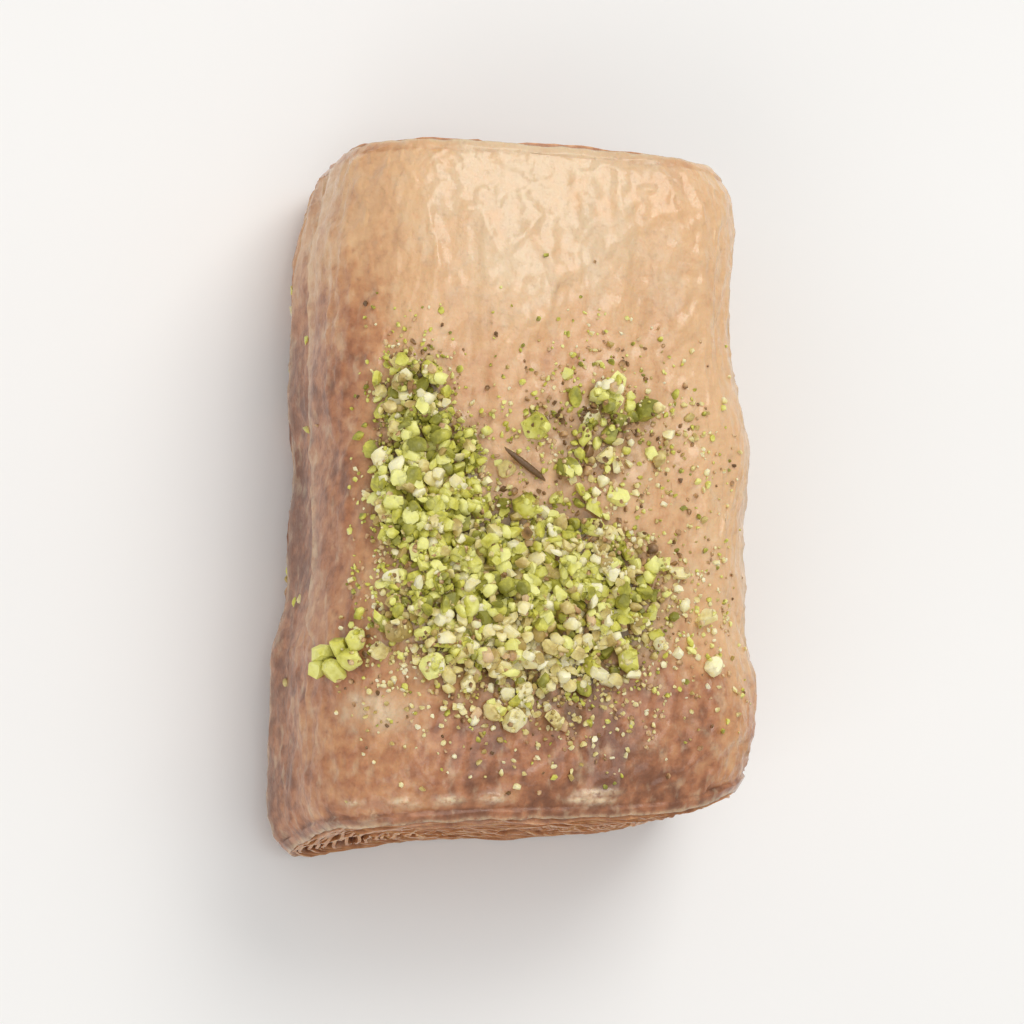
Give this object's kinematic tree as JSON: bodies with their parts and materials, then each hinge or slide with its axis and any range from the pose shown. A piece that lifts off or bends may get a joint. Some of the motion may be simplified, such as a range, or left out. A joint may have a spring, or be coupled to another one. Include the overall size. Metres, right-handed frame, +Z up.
{
  "type": "baklava piece",
  "caption": "Rectangular pillow-shaped baklava piece of syrup-soaked filo layers, cut square at both ends, with ground pistachio over its top.",
  "frame": {"origin": "centre of the footprint, on the surface that the piece rests on", "axes": "+Y along the long side towards the back end, +X to the right, +Z up; the front end looks along -Y"},
  "size_m": [0.0366, 0.0538, 0.0225],
  "materials": {
    "filo": "golden baked filo, glossy with syrup",
    "pistachio": "ground pistachio, matte"
  },
  "bodies": {
    "root": {"pastry": "filo"}
  },
  "joints": []
}
